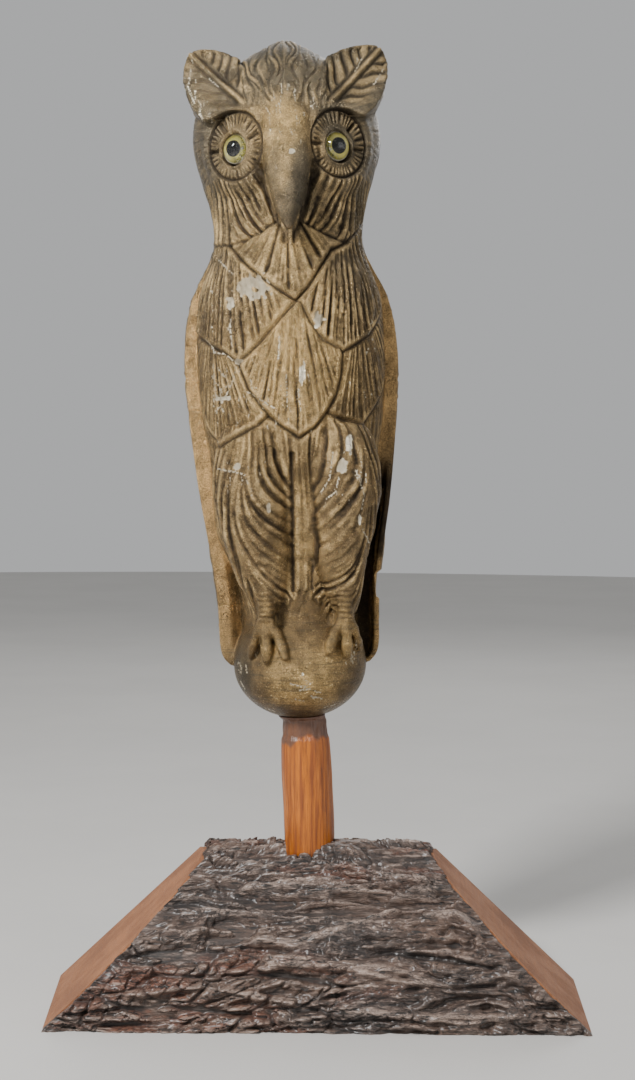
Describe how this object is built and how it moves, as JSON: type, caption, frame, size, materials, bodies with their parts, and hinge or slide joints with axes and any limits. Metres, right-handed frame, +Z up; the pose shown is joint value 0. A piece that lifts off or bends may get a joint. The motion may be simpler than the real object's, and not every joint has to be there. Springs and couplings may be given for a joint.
{
  "type": "owl figurine",
  "caption": "Upright moulded owl with glass eyes perched on a ball, lifting off a wooden post that turns in a bark-covered split-log stand.",
  "frame": {"origin": "middle of the log's flat underside, at the middle of the whole object's footprint", "axes": "+Z up, -Y the way the owl faces, +X along the log to the viewer's right"},
  "size_m": [0.453, 0.1855, 0.8111],
  "materials": {
    "bronze_paint": "aged bronze-brown paint over moulded paper pulp, worn to gesso on the high spots",
    "eye_glass": "clear polished glass dome",
    "eye_enamel": "yellow enamel fired on the back of the glass",
    "pupil_glass": "black glass",
    "eye_wire": "annealed wire",
    "putty": "hard setting putty",
    "paper_tape": "pasted brown paper",
    "block_wood": "plain softwood",
    "post_wood": "peeled branch, oiled",
    "log_wood": "sawn ends stained brown",
    "bark": "rough varnished bark",
    "zinc_steel": "zinc plated"
  },
  "bodies": {
    "stand": {"log_core": "log_wood", "log_bark": "bark"},
    "post": {"post": "post_wood", "coach_screw": "zinc_steel", "screw_washer": "zinc_steel"},
    "owl": {"front_shell": "bronze_paint", "back_shell": "bronze_paint", "socket_block": "block_wood", "seam_tape": "paper_tape", "left_eye_glass": "eye_glass", "left_eye_iris": "eye_enamel", "left_eye_pupil": "pupil_glass", "left_eye_wire": "eye_wire", "left_eye_putty": "putty", "right_eye_glass": "eye_glass", "right_eye_iris": "eye_enamel", "right_eye_pupil": "pupil_glass", "right_eye_wire": "eye_wire", "right_eye_putty": "putty"}
  },
  "joints": [
    {"name": "post_turn", "type": "hinge", "parent": "stand", "child": "post", "pos_m": [-0.011, 0.0165, 0.125], "axis": [-0.0366, 0, 0.9993], "continuous": true},
    {"name": "owl_lift", "type": "slide", "parent": "post", "child": "owl", "axis": [-0.0366, 0, 0.9993], "range_m": [0, 0.06]}
  ]
}
